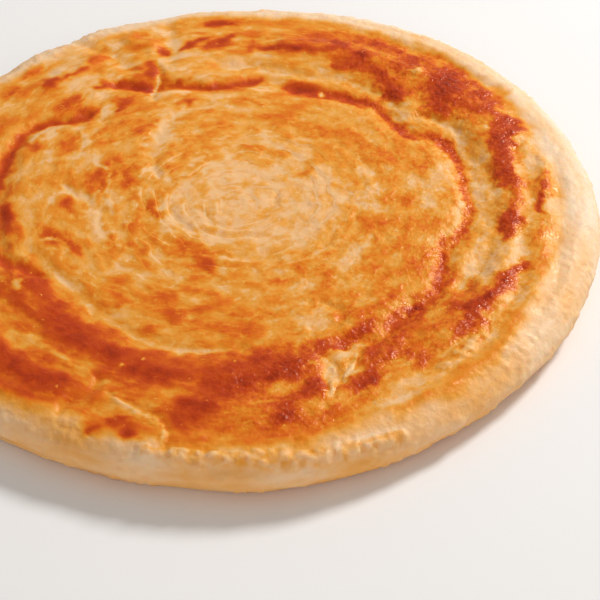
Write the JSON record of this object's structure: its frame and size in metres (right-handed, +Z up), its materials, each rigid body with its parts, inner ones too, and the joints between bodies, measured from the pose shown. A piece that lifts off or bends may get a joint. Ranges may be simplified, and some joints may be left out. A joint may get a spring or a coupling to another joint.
{
  "type": "paratha flatbread",
  "caption": "Round layered flatbread rolled from a coil of dough and browned on a griddle, with a soft pale rounded rim; lies flat as food on a plate.",
  "frame": {"origin": "on the surface the bread rests on, under the middle of the bread", "axes": "+Z up, out of the browned top; +Y away from a viewer who sees the bread as in the reference view, +X to the viewer's right"},
  "size_m": [0.1856, 0.1836, 0.0134],
  "materials": {
    "browned_dough": "griddle-browned wheat dough, pale cream on the rim and in the creases, golden to red-brown on the raised turns, with a thin sheen of fat"
  },
  "bodies": {
    "root": {"paratha": "browned_dough"}
  },
  "joints": []
}
